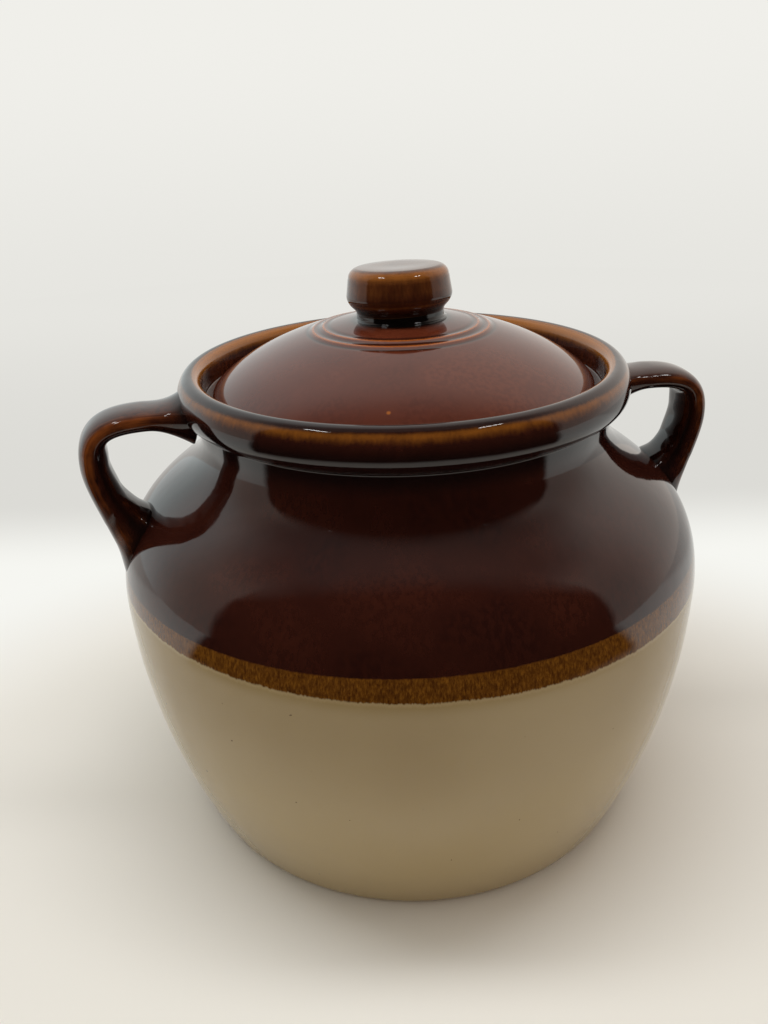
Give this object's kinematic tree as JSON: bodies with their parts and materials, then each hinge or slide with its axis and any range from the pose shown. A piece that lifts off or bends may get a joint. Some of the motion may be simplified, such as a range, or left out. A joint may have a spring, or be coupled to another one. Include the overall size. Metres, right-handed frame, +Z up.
{
  "type": "stoneware bean pot",
  "caption": "Round-bellied stoneware bean pot with a rolled collar, finger handles on either side and a loose domed lid with a turned knob.",
  "frame": {"origin": "centre of the flat base, on the surface that the pot stands on", "axes": "+Z up through the middle of the mouth, +X towards the right handle"},
  "size_m": [0.217, 0.204, 0.1918],
  "materials": {
    "pot_glaze": "gloss",
    "handle_glaze": "gloss",
    "lid_glaze": "gloss",
    "knob_glaze": "gloss"
  },
  "bodies": {
    "pot": {"pot_body": "pot_glaze", "handle_left": "handle_glaze", "handle_right": "handle_glaze"},
    "lid": {"lid": "lid_glaze", "lid_knob": "knob_glaze"}
  },
  "joints": [
    {"name": "lid_lift", "type": "slide", "parent": "pot", "child": "lid", "axis": [0, 0, 1], "range_m": [0, 0.08]}
  ]
}
